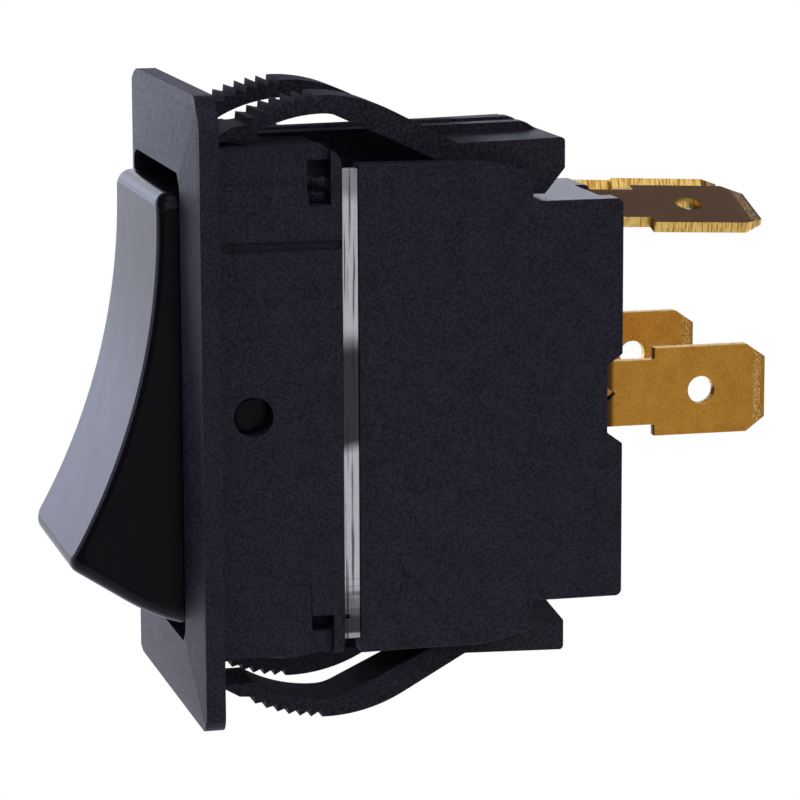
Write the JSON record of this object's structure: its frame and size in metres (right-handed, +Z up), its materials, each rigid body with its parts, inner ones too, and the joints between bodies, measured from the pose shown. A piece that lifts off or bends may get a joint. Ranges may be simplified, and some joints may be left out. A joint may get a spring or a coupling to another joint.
{
  "type": "panel rocker switch",
  "caption": "Snap-in panel rocker switch: rectangular bezel, hollowed rocker, serrated spring wings at both ends and flat brass quick-connect tabs.",
  "frame": {"origin": "the middle of the flange's back face, where it bears on the panel", "axes": "+Y to the rear, along the terminal tabs; the rocker faces -Y; +Z up along the flange's length, towards the upper terminals; +X across the flange"},
  "size_m": [0.0254, 0.0502, 0.0444],
  "materials": {
    "grained_plastic": "fine grain, blue-black",
    "satin_plastic": "satin, blue-black",
    "smooth_plastic": "smooth, blue-black",
    "plated_steel": "bright plated",
    "terminal_brass": "stamped, lightly tarnished",
    "blade_copper": "stamped",
    "contact_silver": "fine satin",
    "pale_plastic": "smooth, natural",
    "spring_steel": "bright drawn wire"
  },
  "bodies": {
    "body": {"front_frame": "grained_plastic", "yoke_plate": "plated_steel", "base": "grained_plastic", "upper_clip": "smooth_plastic", "lower_clip": "smooth_plastic", "right_middle_terminal": "terminal_brass", "left_middle_terminal": "terminal_brass", "right_upper_terminal": "terminal_brass", "left_upper_terminal": "terminal_brass", "right_fixed_contact": "contact_silver", "left_fixed_contact": "contact_silver"},
    "rocker": {"rocker": "satin_plastic", "right_plunger_spring": "spring_steel", "left_plunger_spring": "spring_steel"},
    "right_plunger": {"right_plunger": "pale_plastic"},
    "left_plunger": {"left_plunger": "pale_plastic"},
    "right_blade": {"right_contact_blade": "blade_copper", "right_moving_contact": "contact_silver"},
    "left_blade": {"left_contact_blade": "blade_copper", "left_moving_contact": "contact_silver"}
  },
  "joints": [
    {"name": "rocker_tilt", "type": "hinge", "parent": "body", "child": "rocker", "pos_m": [0, 0.00264, -0.0003], "axis": [1, 0, 0], "range_deg": [0, 29]},
    {"name": "right_plunger_slide", "type": "slide", "parent": "rocker", "child": "right_plunger", "axis": [0, -0.9681, 0.2504], "range_m": [0, 0.0014], "stiffness_N_per_m": 20, "springref_m": -0.02, "deforming": ["right_plunger_spring"]},
    {"name": "left_plunger_slide", "type": "slide", "parent": "rocker", "child": "left_plunger", "axis": [0, -0.9681, 0.2504], "range_m": [0, 0.0014], "stiffness_N_per_m": 20, "springref_m": -0.02, "deforming": ["left_plunger_spring"]},
    {"name": "right_blade_rock", "type": "hinge", "parent": "body", "child": "right_blade", "pos_m": [0.0043, 0.02247, -0.0003], "axis": [1, 0, 0], "range_deg": [-14, 0]},
    {"name": "left_blade_rock", "type": "hinge", "parent": "body", "child": "left_blade", "pos_m": [-0.0043, 0.02247, -0.0003], "axis": [1, 0, 0], "range_deg": [-14, 0]}
  ],
  "couplings": [
    {"joint": "right_blade_rock", "follows": "rocker_tilt", "ratio": -0.48276},
    {"joint": "left_blade_rock", "follows": "rocker_tilt", "ratio": -0.48276}
  ]
}
